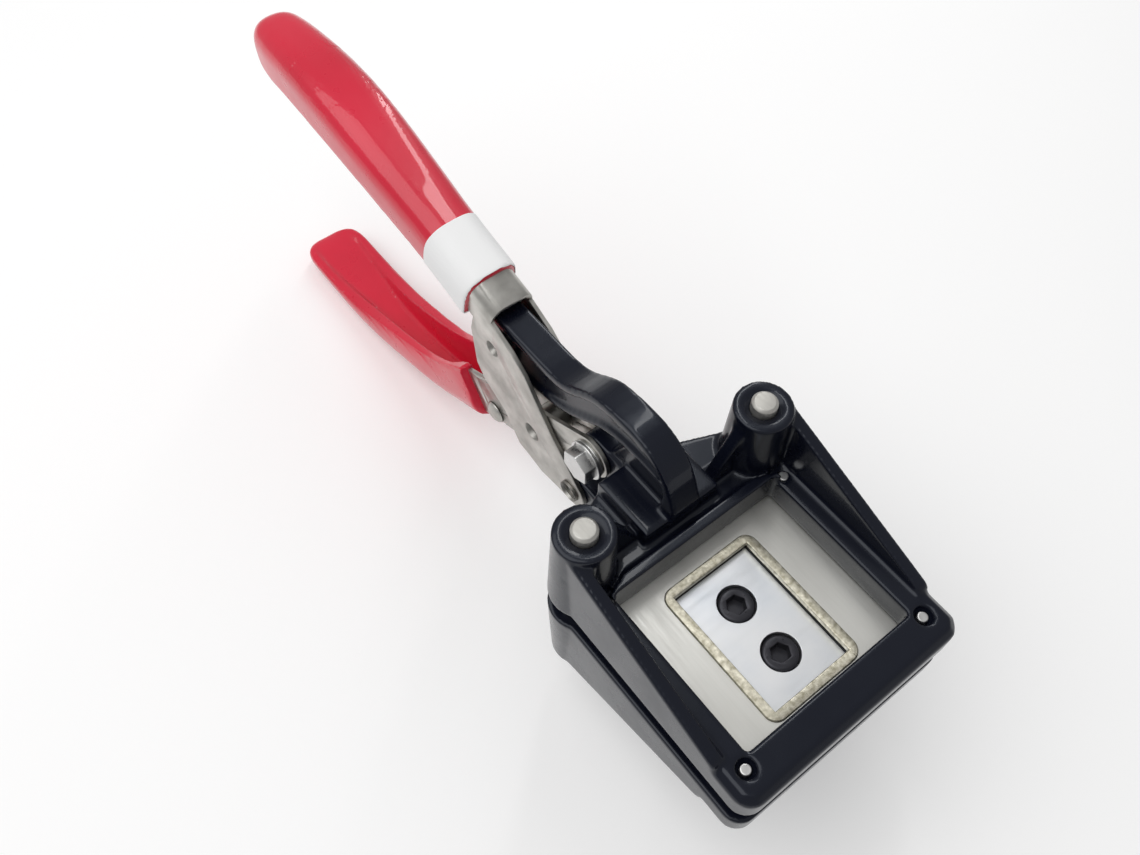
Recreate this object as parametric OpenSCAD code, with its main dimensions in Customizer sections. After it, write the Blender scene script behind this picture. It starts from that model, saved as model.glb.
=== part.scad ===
// Hand-held die cutter for identity photos, built as an assembly of separate pieces.
// Millimetres, +Z up, +Y toward the handles; origin at the centre of the die opening on the ring top.

/* [Die] */
// Width of the photo that is cut
photo_w = 22; // [16:0.5:28]
// Length of the photo that is cut
photo_l = 32; // [24:0.5:40]
// Clearance of the punch in the die, each side
punch_clear = 0.05; // [0.02:0.01:0.1]
// Width of the hardened ring
ring_w = 2.3; // [1.5:0.1:3]
// Outer corner radius of the ring
ring_r = 3; // [1:0.5:5]
// Height of the ring above the die plate
ring_proud = 0.6; // [0.3:0.1:1]
// Die plate thickness
die_t = 1.2; // [0.8:0.1:2]
// Height of the photo slot
slot_h = 0.8; // [0.5:0.1:1.5]
// Stripper plate thickness
stripper_t = 1.4; // [1:0.1:2]
// Travel of the lower casting
stroke = 4.2; // [3:0.1:5]
// Gap left under the stripper at full travel
stroke_gap = 0.2; // [0.1:0.05:0.5]

/* [Castings] */
// Width of the flat rim beside the window, to the screw line
rim_w = 2.2; // [1.8:0.1:4]
// Wall outside the die plate
side_wall = 3.2; // [2.5:0.1:5]
// Front rim outside the die plate
front_wall = 4.3; // [3:0.1:8]
// Plan radius of the front corners
head_r = 4.5; // [2:0.5:8]
// Chamfer on the outer flange edges
head_chamfer = 1.8; // [0.5:0.1:3]
// Upper flange thickness
u_flange_t = 9; // [7:0.5:12]
// Upper boss height above the parting face
u_boss_h = 27; // [22:0.5:32]
// Upper saddle height above the parting face
u_saddle_h = 13.6; // [11:0.2:16]
// Lower flange thickness
l_flange_t = 8; // [5:0.2:10]
// Lower boss height below the parting face
l_boss_h = 26; // [22:0.2:30]
// Lower saddle height below the parting face
l_saddle_h = 12; // [10:0.2:16]
// Boss radius at its free end
boss_r = 6.8; // [6:0.1:9]
// Boss radius at the parting face
boss_root_r = 7.7; // [6.5:0.1:10]
// Gusset wall thickness
gusset_t = 3.2; // [2:0.1:5]
// Half width of the saddle between the bosses
saddle_hw = 10.5; // [8:0.1:13]
// Half width of the pivot lug
lug_hw = 3.4; // [3:0.1:4.5]
// Radius of the upper pivot lug
lug_r = 5.3; // [4.5:0.1:6]
// Radius of the lower pivot lug
l_lug_r = 4.8; // [4.2:0.1:5]
// Half width of the arm
arm_hw = 3.9; // [3:0.1:4.2]
// Arm web half width
arm_web = 2.3; // [1.5:0.1:3]

/* [Guides] */
// Guide post radius
post_r = 3; // [2:0.1:3.6]
// Running clearance of the posts
post_clear = 0.03; // [0.02:0.01:0.08]
// Post length above the upper boss
post_proud = 2; // [0.5:0.1:4]
// Spring wire diameter
wire_d = 1; // [0.6:0.1:1.2]
// Turns of a return spring
spring_turns = 9; // [6:1:11]

/* [Linkage] */
// Front pivot, distance behind the posts
link_dy = 22.2; // [21:0.1:24]
// Front pivot height
link_z = 4.4; // [3:0.1:6]
// Main pivot, distance behind the posts
pivot_dy = 43.7; // [41:0.1:46]
// Main pivot height
pivot_z = -10.5; // [-12:0.1:-9]
// Lift pin, distance behind the posts
lift_dy = 27.6; // [26:0.1:29]
// Lift pin depth below the lower parting face
lift_drop = 9.6; // [9:0.1:10.5]
// Arm pin, distance behind the posts
arm_pin_dy = 59.3; // [57:0.1:60]
// Arm pin height
arm_pin_z = 8.2; // [7:0.1:9.5]
// Sheet thickness of the levers
sheet_t = 1.3; // [1:0.1:1.6]
// Side gap between moving sheets
side_gap = 0.15; // [0.1:0.05:0.3]
// Radius of link bolt, arm pin and lift pin
pin_r = 2.2; // [1.8:0.1:2.5]
// Radius of the main pivot rivet
pivot_r = 2.6; // [2:0.1:3]
// Running clearance of the pivots
pivot_clear = 0.05; // [0.02:0.01:0.1]
// Clearance of the lift pin in the lower lug
lift_clear = 0.15; // [0.1:0.01:0.3]

/* [Grips] */
// Half width of both grips at their front ends
grip_hw = 7.6; // [7.4:0.1:9]
// Coating thickness on the back of the steel
coat = 1.4; // [1:0.1:2.2]
// Coating thickness inside the channel
coat_in = 0.8; // [0.6:0.1:1]
// Height of the upper steel channel
u_chan_h = 10.6; // [9:0.2:14]
// Height of the lower steel channel
l_chan_h = 14.8; // [13:0.2:16]
// Shoulder radius of the upper channel
shoulder_r = 4.2; // [3:0.2:5]
// Shoulder radius of the lower channel
l_shoulder_r = 3.8; // [2.6:0.2:4.4]
// How far each wall of the lower channel spreads inside its grip
l_spread = 1.6; // [0.8:0.1:1.7]
// Share of the lower grip's wall height that is left at its end
l_tail = 0.3; // [0.28:0.01:0.6]
// Share of the lower channel's height that its steel walls keep at the end
l_steel_tail = 0.23; // [0.22:0.01:0.26]
// How far the lower grip widens on each side toward its end
l_flare = 2; // [1:0.1:3]
// Start of the upper grip, along Y from the front of its channel
u_grip_dy = 8.2; // [7:0.1:10]
// Start of the lower grip, along Y from the front of its channel
l_grip_dy = 8.6; // [8:0.1:11]

/* [Hidden] */
$fn = 48;
eps = 0.01;
seat = 0.02;

// Heights, from the ring top downward
plate_top = -ring_proud;
u_face = plate_top - die_t;
strip_top = u_face - slot_h;
strip_bot = strip_top - stripper_t;
l_face = strip_bot - stroke - stroke_gap;
flange_top = u_face + u_flange_t;
punch_top = strip_top - 0.05;

// Plan of the head
win_hw = photo_w / 2 + 12.6;
win_front = -(photo_l / 2 + ring_w + 0.9);
win_back = photo_l / 2 + 6;
screw_x = win_hw + rim_w;
screw_y = photo_l / 2 + 5.3;
screw_r = 1.25;
plate_hw = screw_x + 2.4;
plate_hl = screw_y + 2.7;
head_hw = plate_hw + side_wall;
head_front = -(plate_hl + front_wall);
post_x = head_hw - boss_r + 0.4;
post_y = plate_hl + 7.2;
saddle_front = win_back + 5.3;
saddle_back = post_y + 12.8;
lip_z = flange_top + 1.8;

// Pivot points as [y, z]
link_p = [post_y + link_dy, link_z];
pivot_p = [post_y + pivot_dy, pivot_z];
lift_p = [post_y + lift_dy, l_face - lift_drop];
arm_p = [post_y + arm_pin_dy, arm_pin_z];
tie_p = pivot_p + [18.5, -14.4];

// Lever stations across X
lh_in = lug_hw + side_gap;
lh_out = lh_in + sheet_t;
lw_in = lh_in + l_spread;
lw_out = lh_out + l_spread;
uh_in = lh_out + side_gap;
uh_out = uh_in + sheet_t;
l_lug_hw = uh_in - side_gap;

// Centre lines of the two steel channels, as straight runs
u_path = [for (q = [[15.6, 27.8], [61, 38.4], [90, 43.5], [118, 42.6]]) pivot_p + q];
l_path = [for (q = [[19, -10.4], [47, -26.2], [73, -33.6], [92, -36.2], [119, -36.4]]) pivot_p + q];

// Grip stations for each run, room round the steel and over its walls, and the grip's height over them
sub = 4;
bed = 0.1;
head_room = 0.6;
lip = 1.5;

// Smooth curve through key points
function cr(a, b, c, d, t) = 0.5 * (2 * b + (c - a) * t + (2 * a - 5 * b + 4 * c - d) * t * t
    + (3 * b - a - 3 * c + d) * t * t * t);
function key(k, i) = k[min(max(i, 0), len(k) - 1)];
function curve(k, n) = [for (i = [0 : n * (len(k) - 1)])
    let (j = min(floor(i / n), len(k) - 2), t = i / n - j)
    cr(key(k, j - 1), key(k, j), key(k, j + 1), key(k, j + 2), t)];
function shift(k, v) = [for (p = k) p + v];
function back(k) = [for (i = [len(k) - 1 : -1 : 0]) k[i]];

// A [y, z] outline made solid from x0 to x1
module slab(x0, x1) {
    translate([x0, 0, 0]) rotate([90, 0, 90]) linear_extrude(height = x1 - x0) children();
}

// Round bar along X through [y, z]
module cross_bar(p, r, x0, x1) {
    translate([x0, p[0], p[1]]) rotate([0, 90, 0]) cylinder(r = r, h = x1 - x0);
}

// Straight strip outline between two [y, z] points
module strip(a, b, lo, hi) {
    d = b - a;
    translate(a) rotate(atan2(d[1], d[0])) translate([0, lo]) square([norm(d), hi - lo]);
}

// Plan of both castings
module head_plan() {
    translate([-head_hw, head_front + head_r]) square([2 * head_hw, post_y - head_front - head_r]);
    translate([head_r - head_hw, head_front]) square([2 * (head_hw - head_r), 2 * head_r]);
    for (s = [-1, 1]) translate([s * (head_hw - head_r), head_front + head_r]) circle(r = head_r);
    polygon([[-post_x - boss_r + 1, post_y - 1], [post_x + boss_r - 1, post_y - 1],
        [post_x + boss_r - 1, post_y + 1.5], [post_x, post_y + boss_r],
        [saddle_hw, saddle_back], [-saddle_hw, saddle_back],
        [-post_x, post_y + boss_r], [-post_x - boss_r + 1, post_y + 1.5]]);
}

// Shape shared by both castings, with the parting face at z = 0 and the bosses upward
module casting_body(flange_t, boss_h, saddle_h) {
    c = head_chamfer * 1.414;
    gusset_front = -photo_l / 2 - 1.5;
    difference() {
        linear_extrude(height = flange_t) head_plan();
        translate([0, head_front, flange_t]) rotate([45, 0, 0]) cube([4 * head_hw, c, c], center = true);
        for (s = [-1, 1]) {
            translate([s * head_hw, 0, flange_t]) rotate([0, 45, 0]) cube([c, 6 * head_hw, c], center = true);
            translate([s * (head_hw - 0.3 * head_r), head_front + 0.3 * head_r, flange_t])
                rotate([0, 0, s * 45]) rotate([45, 0, 0]) cube([4 * head_r, c, c], center = true);
        }
    }
    for (s = [0, 1]) mirror([s, 0, 0]) {
        translate([post_x, post_y, 0]) cylinder(r1 = boss_root_r, r2 = boss_r, h = boss_h);
        slab(head_hw - gusset_t, head_hw)
            polygon([[post_y + 2, 1], [post_y + 2, boss_h - 0.8], [post_y - 2, boss_h - 0.8],
                [gusset_front + 1.2, flange_t + 1.5], [gusset_front, flange_t + 0.6],
                [gusset_front - 0.8, flange_t - 2.5]]);
        translate([0, post_y + 1.6, 0]) rotate([90, 0, 0]) linear_extrude(height = 3.2)
            polygon([[saddle_hw - 1, 1], [post_x, 1], [post_x, boss_h - 1],
                [post_x - boss_r + 1.2, boss_h - 1], [saddle_hw + 0.8, saddle_h - 2.6],
                [saddle_hw - 1, saddle_h - 2.6]]);
    }
    translate([-saddle_hw, saddle_front, 0]) cube([2 * saddle_hw, saddle_back - saddle_front, saddle_h]);
}

// Arm curves as [y, z]
arm_top = curve(shift([[-4.8, 15], [-0.8, 23.2], [4.4, 27.4], [11, 28.9], [20.5, 28], [25.5, 25.8],
    [32, 20.8], [37.5, 18.6], [47, 18.2], [68, 18.4]], [post_y, 0]), 3);
arm_low = curve(shift([[-4.8, 11], [-0.8, 18.2], [10, 19.4], [19, 17.6], [26.5, 12.6], [34, 7.4],
    [42, 4.4], [50, 3], [68, 2.6]], [post_y, 0]), 3);
arm_end = post_y + 68;

module arm() {
    slab(-arm_web, arm_web) polygon(concat(arm_top, back(arm_low)));
    slab(-arm_hw, arm_hw) polygon(concat(arm_top, back(shift(arm_top, [0, -3]))));
    slab(-lug_hw, lug_hw) polygon(concat(shift(arm_low, [0, 2]), back(arm_low)));
    slab(-arm_web, arm_web) polygon([[post_y - 4.2, u_face + u_saddle_h - 1], [post_y - 4.2, 16],
        [post_y + 8, 20], [saddle_back, 20], [link_p[0] - 3, link_z + 3], [saddle_back, u_face + 8]]);
    intersection() {
        slab(-lug_hw, lug_hw) polygon(concat(arm_top, back(arm_low)));
        translate([-20, arm_p[0] - 6, -20]) cube([40, 60, 80]);
    }
    intersection() {
        slab(-arm_hw, arm_hw) polygon(concat(arm_top, [[arm_end, 5], [post_y - 4.4, 5]]));
        translate([-20, post_y - 6, u_face + u_saddle_h - 2]) cube([40, 5.6, 80]);
    }
}

module post_holes(x, z0, z1, r) {
    for (s = [-1, 1]) translate([s * x, post_y, z0]) cylinder(r = r, h = z1 - z0);
}

module screw_at() {
    for (sx = [-1, 1], sy = [-1, 1]) translate([sx * screw_x, sy * screw_y, 0]) children();
}

spring_r = post_r + 0.4 + wire_d / 2;
spring_bore = spring_r + wire_d / 2 + 0.4;
spring_top = u_face + 0.55 * u_boss_h;
spring_bot = l_face - 0.35 * l_boss_h;

module upper_casting() color([0.09, 0.1, 0.15]) {
    boss_top = u_face + u_boss_h;
    difference() {
        union() {
            translate([0, 0, u_face]) casting_body(u_flange_t, u_boss_h, u_saddle_h);
            translate([0, 0, flange_top - 2]) linear_extrude(height = lip_z - flange_top + 2)
                polygon([[-win_hw - 1.4, win_back - 1], [win_hw + 1.4, win_back - 1],
                    [win_hw + 1.4, win_back + 0.3], [19 / 23.6 * win_hw, win_back + 2.7],
                    [-19 / 23.6 * win_hw, win_back + 2.7], [-win_hw - 1.4, win_back + 0.3]]);
            arm();
            slab(-lug_hw, lug_hw) union() {
                translate(link_p) circle(r = lug_r);
                translate([saddle_back - 2, link_z - lug_r]) square([link_dy - 12.8 + 2, 2 * lug_r]);
            }
        }
        translate([-win_hw, win_front, plate_top - 1]) cube([2 * win_hw, win_back - win_front, 40]);
        translate([-plate_hw - seat, -plate_hl - seat, u_face - 1])
            cube([2 * (plate_hw + seat), 2 * (plate_hl + seat), die_t + 1]);
        post_holes(post_x, u_face - 1, boss_top + 1, post_r + post_clear);
        post_holes(post_x, boss_top - 0.5, boss_top + 1, post_r + 1.4);
        post_holes(post_x, u_face - 1, spring_top, spring_bore);
        screw_at() translate([0, 0, u_face - 1]) cylinder(r = screw_r + seat, h = 40);
        for (s = [-1, 1]) translate([s * screw_x, -screw_y, flange_top - 2]) cylinder(r = 2.2, h = 10);
        cross_bar(link_p, pin_r + seat, -20, 20);
        slab(-20, 20) translate(arm_p) rotate(-14) union() {
            circle(r = pin_r + 0.5);
            translate([0, -pin_r - 0.5]) square([0.95 * stroke, 2 * pin_r + 1]);
            translate([0.95 * stroke, 0]) circle(r = pin_r + 0.5);
        }
    }
}

module die_plate() color([0.66, 0.62, 0.55]) {
    difference() {
        translate([-plate_hw, -plate_hl, u_face]) cube([2 * plate_hw, 2 * plate_hl, die_t]);
        translate([0, 0, u_face - 1]) linear_extrude(height = die_t + 2) ring_plan(seat);
        screw_at() translate([0, 0, u_face - 1]) cylinder(r = screw_r + seat, h = die_t + 2);
    }
}

module ring_plan(grow) {
    w = photo_w + 2 * ring_w + 2 * grow;
    l = photo_l + 2 * ring_w + 2 * grow;
    square([w - 2 * ring_r, l], center = true);
    square([w, l - 2 * ring_r], center = true);
    for (sx = [-1, 1], sy = [-1, 1])
        translate([sx * (w / 2 - ring_r), sy * (l / 2 - ring_r)]) circle(r = ring_r);
}

module die_ring() color([0.78, 0.72, 0.5]) {
    difference() {
        translate([0, 0, u_face]) linear_extrude(height = -u_face) ring_plan(0);
        translate([-photo_w / 2, -photo_l / 2, u_face - 1]) cube([photo_w, photo_l, 10]);
    }
}

module slot_rails() color([0.3, 0.3, 0.32]) {
    difference() {
        for (s = [-1, 1]) translate([s * screw_x - 1.6, -plate_hl + 0.5, strip_top])
            cube([3.2, 2 * plate_hl - 1, slot_h]);
        screw_at() translate([0, 0, strip_top - 1]) cylinder(r = screw_r + seat, h = slot_h + 2);
    }
}

module stripper_plate() color([0.25, 0.25, 0.27]) {
    difference() {
        translate([-plate_hw, -plate_hl, strip_bot]) cube([2 * plate_hw, 2 * plate_hl, stripper_t]);
        translate([-photo_w / 2 - 0.1, -photo_l / 2 - 0.1, strip_bot - 1])
            cube([photo_w + 0.2, photo_l + 0.2, stripper_t + 2]);
        screw_at() translate([0, 0, strip_bot - 1]) cylinder(r = screw_r + seat, h = stripper_t + 2);
        screw_at() translate([0, 0, strip_bot]) cylinder(r1 = 2.2 + seat, r2 = screw_r + seat, h = 1);
    }
}

module die_screws() color([0.75, 0.75, 0.76]) {
    screw_at() {
        translate([0, 0, strip_bot]) cylinder(r1 = 2.2, r2 = screw_r, h = 1);
        translate([0, 0, strip_bot + 0.5]) cylinder(r = screw_r, h = flange_top - 0.9 - strip_bot - 0.5);
    }
    for (s = [-1, 1]) translate([s * screw_x, screw_y, strip_bot + 0.5])
        cylinder(r = screw_r, h = flange_top + 0.3 - strip_bot - 0.5);
}

head_x0 = lh_out + 0.05 + 0.8;

module link_bolt() color([0.8, 0.8, 0.8]) {
    cross_bar(link_p, pin_r, -head_x0 - 0.5, head_x0 + 5.2);
    cross_bar(link_p, 5.3, -head_x0 - 0.9, -head_x0);
    translate([-head_x0 - 4, link_p[0], link_p[1]]) rotate([0, 90, 0]) cylinder(r = 4.62, h = 3.6, $fn = 6);
}

module link_washers() color([0.7, 0.7, 0.7]) {
    difference() {
        for (s = [0, 1]) mirror([s, 0, 0]) cross_bar(link_p, 5, lh_out + 0.05, head_x0);
        cross_bar(link_p, pin_r + seat, -20, 20);
    }
}

module link_nut() color([0.8, 0.8, 0.8]) {
    difference() {
        translate([head_x0, link_p[0], link_p[1]]) rotate([0, 90, 0]) cylinder(r = 4.62, h = 4, $fn = 6);
        cross_bar(link_p, pin_r + seat, -20, 20);
    }
}

// Wound wire: rings of six points along the helix, closed at both ends
spring_h = spring_top - spring_bot - wire_d - 0.04;
spring_pitch = spring_h / spring_turns;
spring_gap = spring_pitch * cos(atan(spring_pitch / (2 * PI * spring_r))) - wire_d;
echo(spring_self_gap = spring_gap);
assert(spring_gap > 0.4, "spring turns touch");

module wound_spring() {
    n = 8 * spring_turns;
    function wp(i, j) = let (a = 45 * i, c = 60 * j, r = spring_r + wire_d / 2 * cos(c))
        [r * cos(a), r * sin(a), spring_h * i / n + wire_d / 2 * sin(c)];
    pts = [for (i = [0 : n], j = [0 : 5]) wp(i, j)];
    side = [for (i = [0 : n - 1], j = [0 : 5]) let (k = (j + 1) % 6)
        [6 * i + j, 6 * i + k, 6 * i + 6 + k, 6 * i + 6 + j]];
    polyhedron(pts, concat([[5, 4, 3, 2, 1, 0]], halves(side), [[for (j = [0 : 5]) 6 * n + j]]));
}

function halves(f) = [for (q = f) [q[0], q[1], q[2]], for (q = f) [q[0], q[2], q[3]]];

module return_spring_left() color([0.6, 0.6, 0.62]) {
    translate([-post_x, post_y, spring_bot + wire_d / 2 + 0.02]) wound_spring();
}

module return_spring_right() color([0.6, 0.6, 0.62]) {
    translate([post_x, post_y, spring_bot + wire_d / 2 + 0.02]) wound_spring();
}

pocket_z = l_face - 2.6;
bolt_y = 0.22 * photo_l;
post_foot = l_face - l_boss_h + 3;

module lower_casting() color([0.09, 0.1, 0.15]) {
    difference() {
        union() {
            translate([0, 0, l_face]) mirror([0, 0, 1]) casting_body(l_flange_t, l_boss_h, l_saddle_h);
            translate([-photo_w / 2 - 3, -photo_l / 2 - 3, pocket_z - 6])
                cube([photo_w + 6, photo_l + 6, 6]);
            slab(-l_lug_hw, l_lug_hw) union() {
                translate(lift_p) circle(r = l_lug_r);
                translate([saddle_back - 2, lift_p[1] - l_lug_r]) square([lift_dy - 12.8 + 2, 2 * l_lug_r]);
            }
        }
        translate([-photo_w / 2 + punch_clear - seat, -photo_l / 2 + punch_clear - seat, pocket_z])
            cube([photo_w - 2 * punch_clear + 2 * seat, photo_l - 2 * punch_clear + 2 * seat, 20]);
        post_holes(post_x, post_foot, l_face + 1, post_r + eps);
        post_holes(post_x, spring_bot, l_face + 1, spring_bore);
        for (s = [-1, 1]) translate([0, s * bolt_y, pocket_z - 5]) cylinder(r = 2.5 + seat, h = 10);
        cross_bar(lift_p, pin_r + lift_clear, -20, 20);
    }
}

module guide_post() {
    top = u_face + u_boss_h + post_proud;
    translate([0, post_y, post_foot]) cylinder(r = post_r, h = top - post_foot - 0.6);
    translate([0, post_y, top - 0.6]) cylinder(r1 = post_r, r2 = post_r - 0.6, h = 0.6);
}

module guide_post_left() color([0.75, 0.75, 0.78]) translate([-post_x, 0, 0]) guide_post();

module guide_post_right() color([0.75, 0.75, 0.78]) translate([post_x, 0, 0]) guide_post();

module punch() color([0.62, 0.66, 0.72]) {
    w = photo_w - 2 * punch_clear;
    l = photo_l - 2 * punch_clear;
    difference() {
        translate([-w / 2, -l / 2, pocket_z]) cube([w, l, punch_top - pocket_z]);
        for (s = [-1, 1]) translate([0, s * bolt_y, 0]) {
            translate([0, 0, pocket_z - 1]) cylinder(r = 2.5 + seat, h = 20);
            translate([0, 0, punch_top - 5.2]) cylinder(r = 4.55, h = 20);
        }
    }
}

module punch_screws() color([0.1, 0.1, 0.11]) {
    for (s = [-1, 1]) translate([0, s * bolt_y, 0]) difference() {
        union() {
            translate([0, 0, punch_top - 5.2]) cylinder(r = 4.25, h = 4.4);
            translate([0, 0, punch_top - 0.8]) cylinder(r1 = 4.25, r2 = 3.75, h = 0.5);
            translate([0, 0, pocket_z - 4.6]) cylinder(r = 2.5, h = punch_top - 5 - pocket_z + 4.6);
        }
        translate([0, 0, punch_top - 3]) cylinder(r = 2.31, h = 10, $fn = 6);
    }
}

// Band outline along a path, between two offsets from its centre line
function path_dir(k, i) = let (d = k[min(i + 1, len(k) - 1)] - k[max(i - 1, 0)],
    a = i > 0 ? (k[i] - k[i - 1]) / norm(k[i] - k[i - 1]) : d / norm(d),
    b = i < len(k) - 1 ? (k[i + 1] - k[i]) / norm(k[i + 1] - k[i]) : a) (a + b) / norm(a + b);
function off(k, d) = [for (i = [0 : len(k) - 1]) let (t = path_dir(k, i), c = i > 0 && i < len(k) - 1
    ? t * (k[i + 1] - k[i]) / norm(k[i + 1] - k[i]) : 1) k[i] + [-t[1], t[0]] * d / c];
function past(k, d) = let (n = len(k) - 1, t = k[n] - k[n - 1]) concat(k, [k[n] + t * d / norm(t)]);

// Slanted faces along the two shoulders of a channel; up = 1 for shoulders above the centre line
module shoulder_cuts(k, runs, hw, h, r, angles, up) {
    for (i = runs, a = angles, s = [-1, 1]) {
        d = k[i + 1] - k[i];
        translate([0, k[i][0], k[i][1]]) rotate([atan2(d[1], d[0]), 0, 0])
            translate([s * (hw - r), norm(d) / 2, up * (h / 2 - r)]) rotate([0, -s * up * a, 0])
                translate([s * (r + 10), 0, 0]) cube([20, norm(d) + 4, 40], center = true);
    }
}

// Solid of a channel's side outline
module band(k, hw, h) {
    slab(-hw, hw) polygon(concat(off(k, h / 2), back(off(k, -h / 2))));
}

// Outline from above of a channel whose walls spread over the second step inside its grip
module spread_outline(k, hw, spread, keys) {
    d = k[1] - k[0];
    near = norm(steps(keys, sub)[1] - k[0]);
    far = norm(steps(keys, sub)[2] - k[0]);
    translate([0, k[0][0], k[0][1]]) rotate([atan2(d[1], d[0]), 0, 0])
        linear_extrude(height = 160, center = true)
            polygon([[hw, -60], [hw, near], [hw + spread, far], [hw + spread, 160],
                [-hw - spread, 160], [-hw - spread, far], [-hw, near], [-hw, -60]]);
}

// Share of a wall's height that is kept, from 1 at the front of the grip to the tail's share at its end
function wall_share(u, tail, end) = tail + (1 - tail) * max(0, 1 - u / end);
steel_end = 0.45;
grip_end = 0.85;

// Upper edge of the lower channel's walls
l_keys = grip_keys(l_path, l_grip_dy);
l_edge = let (k = steps(l_keys, sub), n = len(k) - 1) concat([off(l_path, l_chan_h / 2)[0]],
    [for (i = [0 : n]) let (t = loft_dir(k, i), w = wall_share(i / n, l_steel_tail, steel_end))
        k[i] + [-t[1], t[0]] * l_chan_h * (w - 0.5)]);

// Lower lever: two plates from the front pivot past the main pivot into a channel that opens upward,
// with its floor starting behind the tie rivet and its walls spread and lower inside the grip
l_floor = concat([along(l_path, 6.5)], [for (i = [1 : 4]) l_path[i]]);

module lower_steel() {
    difference() {
        union() {
            slab(-lh_out, lh_out) hull() {
                translate(link_p) circle(r = 5.8);
                translate(pivot_p) circle(r = 7.8);
            }
            slab(-lh_out, lh_out) hull() {
                translate(pivot_p) circle(r = 7.8);
                strip(l_path[0], along(l_path, 5), 1 - l_chan_h / 2, l_chan_h / 2 - 1);
            }
            intersection() {
                slab(-lw_out, lw_out) polygon(concat(l_edge, back(off(l_path, -l_chan_h / 2))));
                spread_outline(l_path, lh_out - eps, l_spread, l_keys);
            }
        }
        difference() {
            intersection() {
                slab(-lw_in, lw_in) polygon(concat([pivot_p + [-60, -60], l_floor[0] + [-2, -60]],
                    [off(l_floor, -l_chan_h / 2 - 9)[0]], past(off(l_floor, sheet_t - l_chan_h / 2), 5),
                    [l_path[4] + [5, 40], pivot_p + [-60, 60]]));
                spread_outline(l_path, lh_in, l_spread, l_keys);
            }
            shoulder_cuts(l_floor, [0 : 3], lw_in, l_chan_h - 2 * sheet_t, l_shoulder_r - sheet_t, [45], -1);
        }
        shoulder_cuts(l_path, [0 : 3], lw_out, l_chan_h, l_shoulder_r, [45], -1);
    }
}

module lower_lever() color([0.62, 0.6, 0.57]) {
    difference() {
        lower_steel();
        cross_bar(link_p, pin_r + pivot_clear, -20, 20);
        cross_bar(pivot_p, pivot_r + pivot_clear, -20, 20);
        cross_bar(tie_p, pin_r + eps, -20, 20);
    }
}

module tie_rivet() color([0.62, 0.6, 0.57]) {
    cross_bar(tie_p, pin_r, -lh_out - 0.3, lh_out + 0.3);
    for (s = [0, 1]) mirror([s, 0, 0]) {
        cross_bar(tie_p, 3.3, lh_out, lh_out + 0.5);
        translate([lh_out + 0.5, tie_p[0], tie_p[1]]) rotate([0, 90, 0]) cylinder(r1 = 3.3, r2 = 2, h = 0.9);
    }
}

module tie_spacer() color([0.6, 0.58, 0.55]) {
    difference() {
        cross_bar(tie_p, 3.6, eps - lh_in, lh_in - eps);
        cross_bar(tie_p, pin_r + eps, -20, 20);
    }
}

// Upper lever: two wide plates from the lift pin past the main pivot into a round-shouldered channel
module upper_steel() {
    difference() {
        union() {
            cross_bar(lift_p, 5.2, -uh_out, uh_out);
            slab(-uh_out, uh_out) polygon([lift_p + [-2.6, 4.4], lift_p + [-1.8, -4.8], lift_p + [6, -5.9],
                pivot_p + [-4.1, -14.6], pivot_p + [0.6, -13.6], pivot_p + [5.8, -12.8],
                pivot_p + [11.6, -4.4], pivot_p + [20.2, 0.4], pivot_p + [23.4, 5], pivot_p + [24.6, 18.5],
                pivot_p + [22.8, 25.5], pivot_p + [15.6, 29.2], pivot_p + [7.5, 25.6], pivot_p + [2.3, 21.6],
                pivot_p + [-0.8, 17.2], pivot_p + [-8.6, 7.7], pivot_p + [-13.9, 2.6]]);
            band(u_path, uh_out, u_chan_h);
        }
        difference() {
            slab(-uh_in, uh_in) polygon(concat([pivot_p + [-60, -60], pivot_p + [-60, 60],
                off(u_path, u_chan_h / 2 + 20)[0]], past(off(u_path, u_chan_h / 2 - sheet_t), 5),
                [u_path[3] + [5, -40]]));
            shoulder_cuts(u_path, [0 : 2], uh_in, u_chan_h - 2 * sheet_t, shoulder_r - sheet_t, [45], 1);
        }
        shoulder_cuts(u_path, [0 : 2], uh_out, u_chan_h, shoulder_r, [45], 1);
        shoulder_cuts([u_path[0], along(u_path, 14)], [0], uh_out, u_chan_h, shoulder_r, [18, 72], 1);
    }
}

module upper_lever() color([0.62, 0.6, 0.57]) {
    difference() {
        upper_steel();
        cross_bar(lift_p, pin_r + eps, -20, 20);
        cross_bar(arm_p, pin_r + eps, -20, 20);
        cross_bar(pivot_p, pivot_r + eps, -20, 20);
    }
}

module main_pivot() color([0.7, 0.68, 0.66]) cross_bar(pivot_p, pivot_r, -uh_out - 0.1, uh_out + 0.1);

module arm_pin() color([0.7, 0.68, 0.66]) cross_bar(arm_p, pin_r, -uh_out - 0.1, uh_out + 0.1);

module lift_pin() color([0.75, 0.75, 0.75]) {
    cross_bar(lift_p, pin_r, -uh_out - 0.3, uh_out + 0.3);
    for (s = [0, 1]) mirror([s, 0, 0]) cross_bar(lift_p, 3.1, uh_out, uh_out + 0.9);
}

module pivot_spacer() color([0.6, 0.58, 0.55]) {
    difference() {
        cross_bar(pivot_p, 4.4, 0.1 - lh_in, lh_in - 0.1);
        cross_bar(pivot_p, pivot_r + eps, -20, 20);
    }
}

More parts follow.
